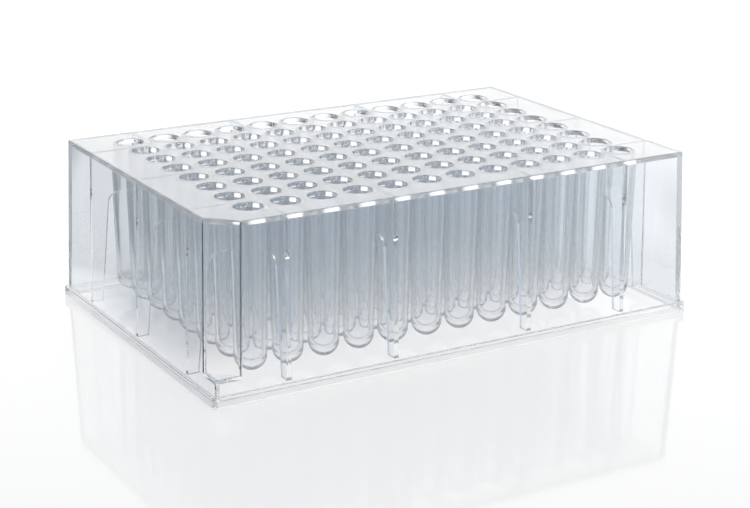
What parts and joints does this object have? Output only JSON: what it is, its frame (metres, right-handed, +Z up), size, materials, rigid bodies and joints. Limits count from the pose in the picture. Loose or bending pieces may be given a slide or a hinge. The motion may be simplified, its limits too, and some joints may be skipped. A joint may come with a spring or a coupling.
{
  "type": "well plate",
  "caption": "Clear deep-well laboratory plate: rectangular skirt, flat deck and a square grid of round-bottomed wells, one corner notched.",
  "frame": {"origin": "centre of the base's footprint, on the surface that the plate stands on", "axes": "+Z up, +X along the long side, +Y along the short side; the notched corner is at -X, -Y"},
  "size_m": [0.1278, 0.0854, 0.04],
  "materials": {
    "clear_polystyrene": "clear, glass-like moulded polystyrene, polished inside and out"
  },
  "bodies": {
    "root": {"well_plate": "clear_polystyrene"}
  },
  "joints": []
}
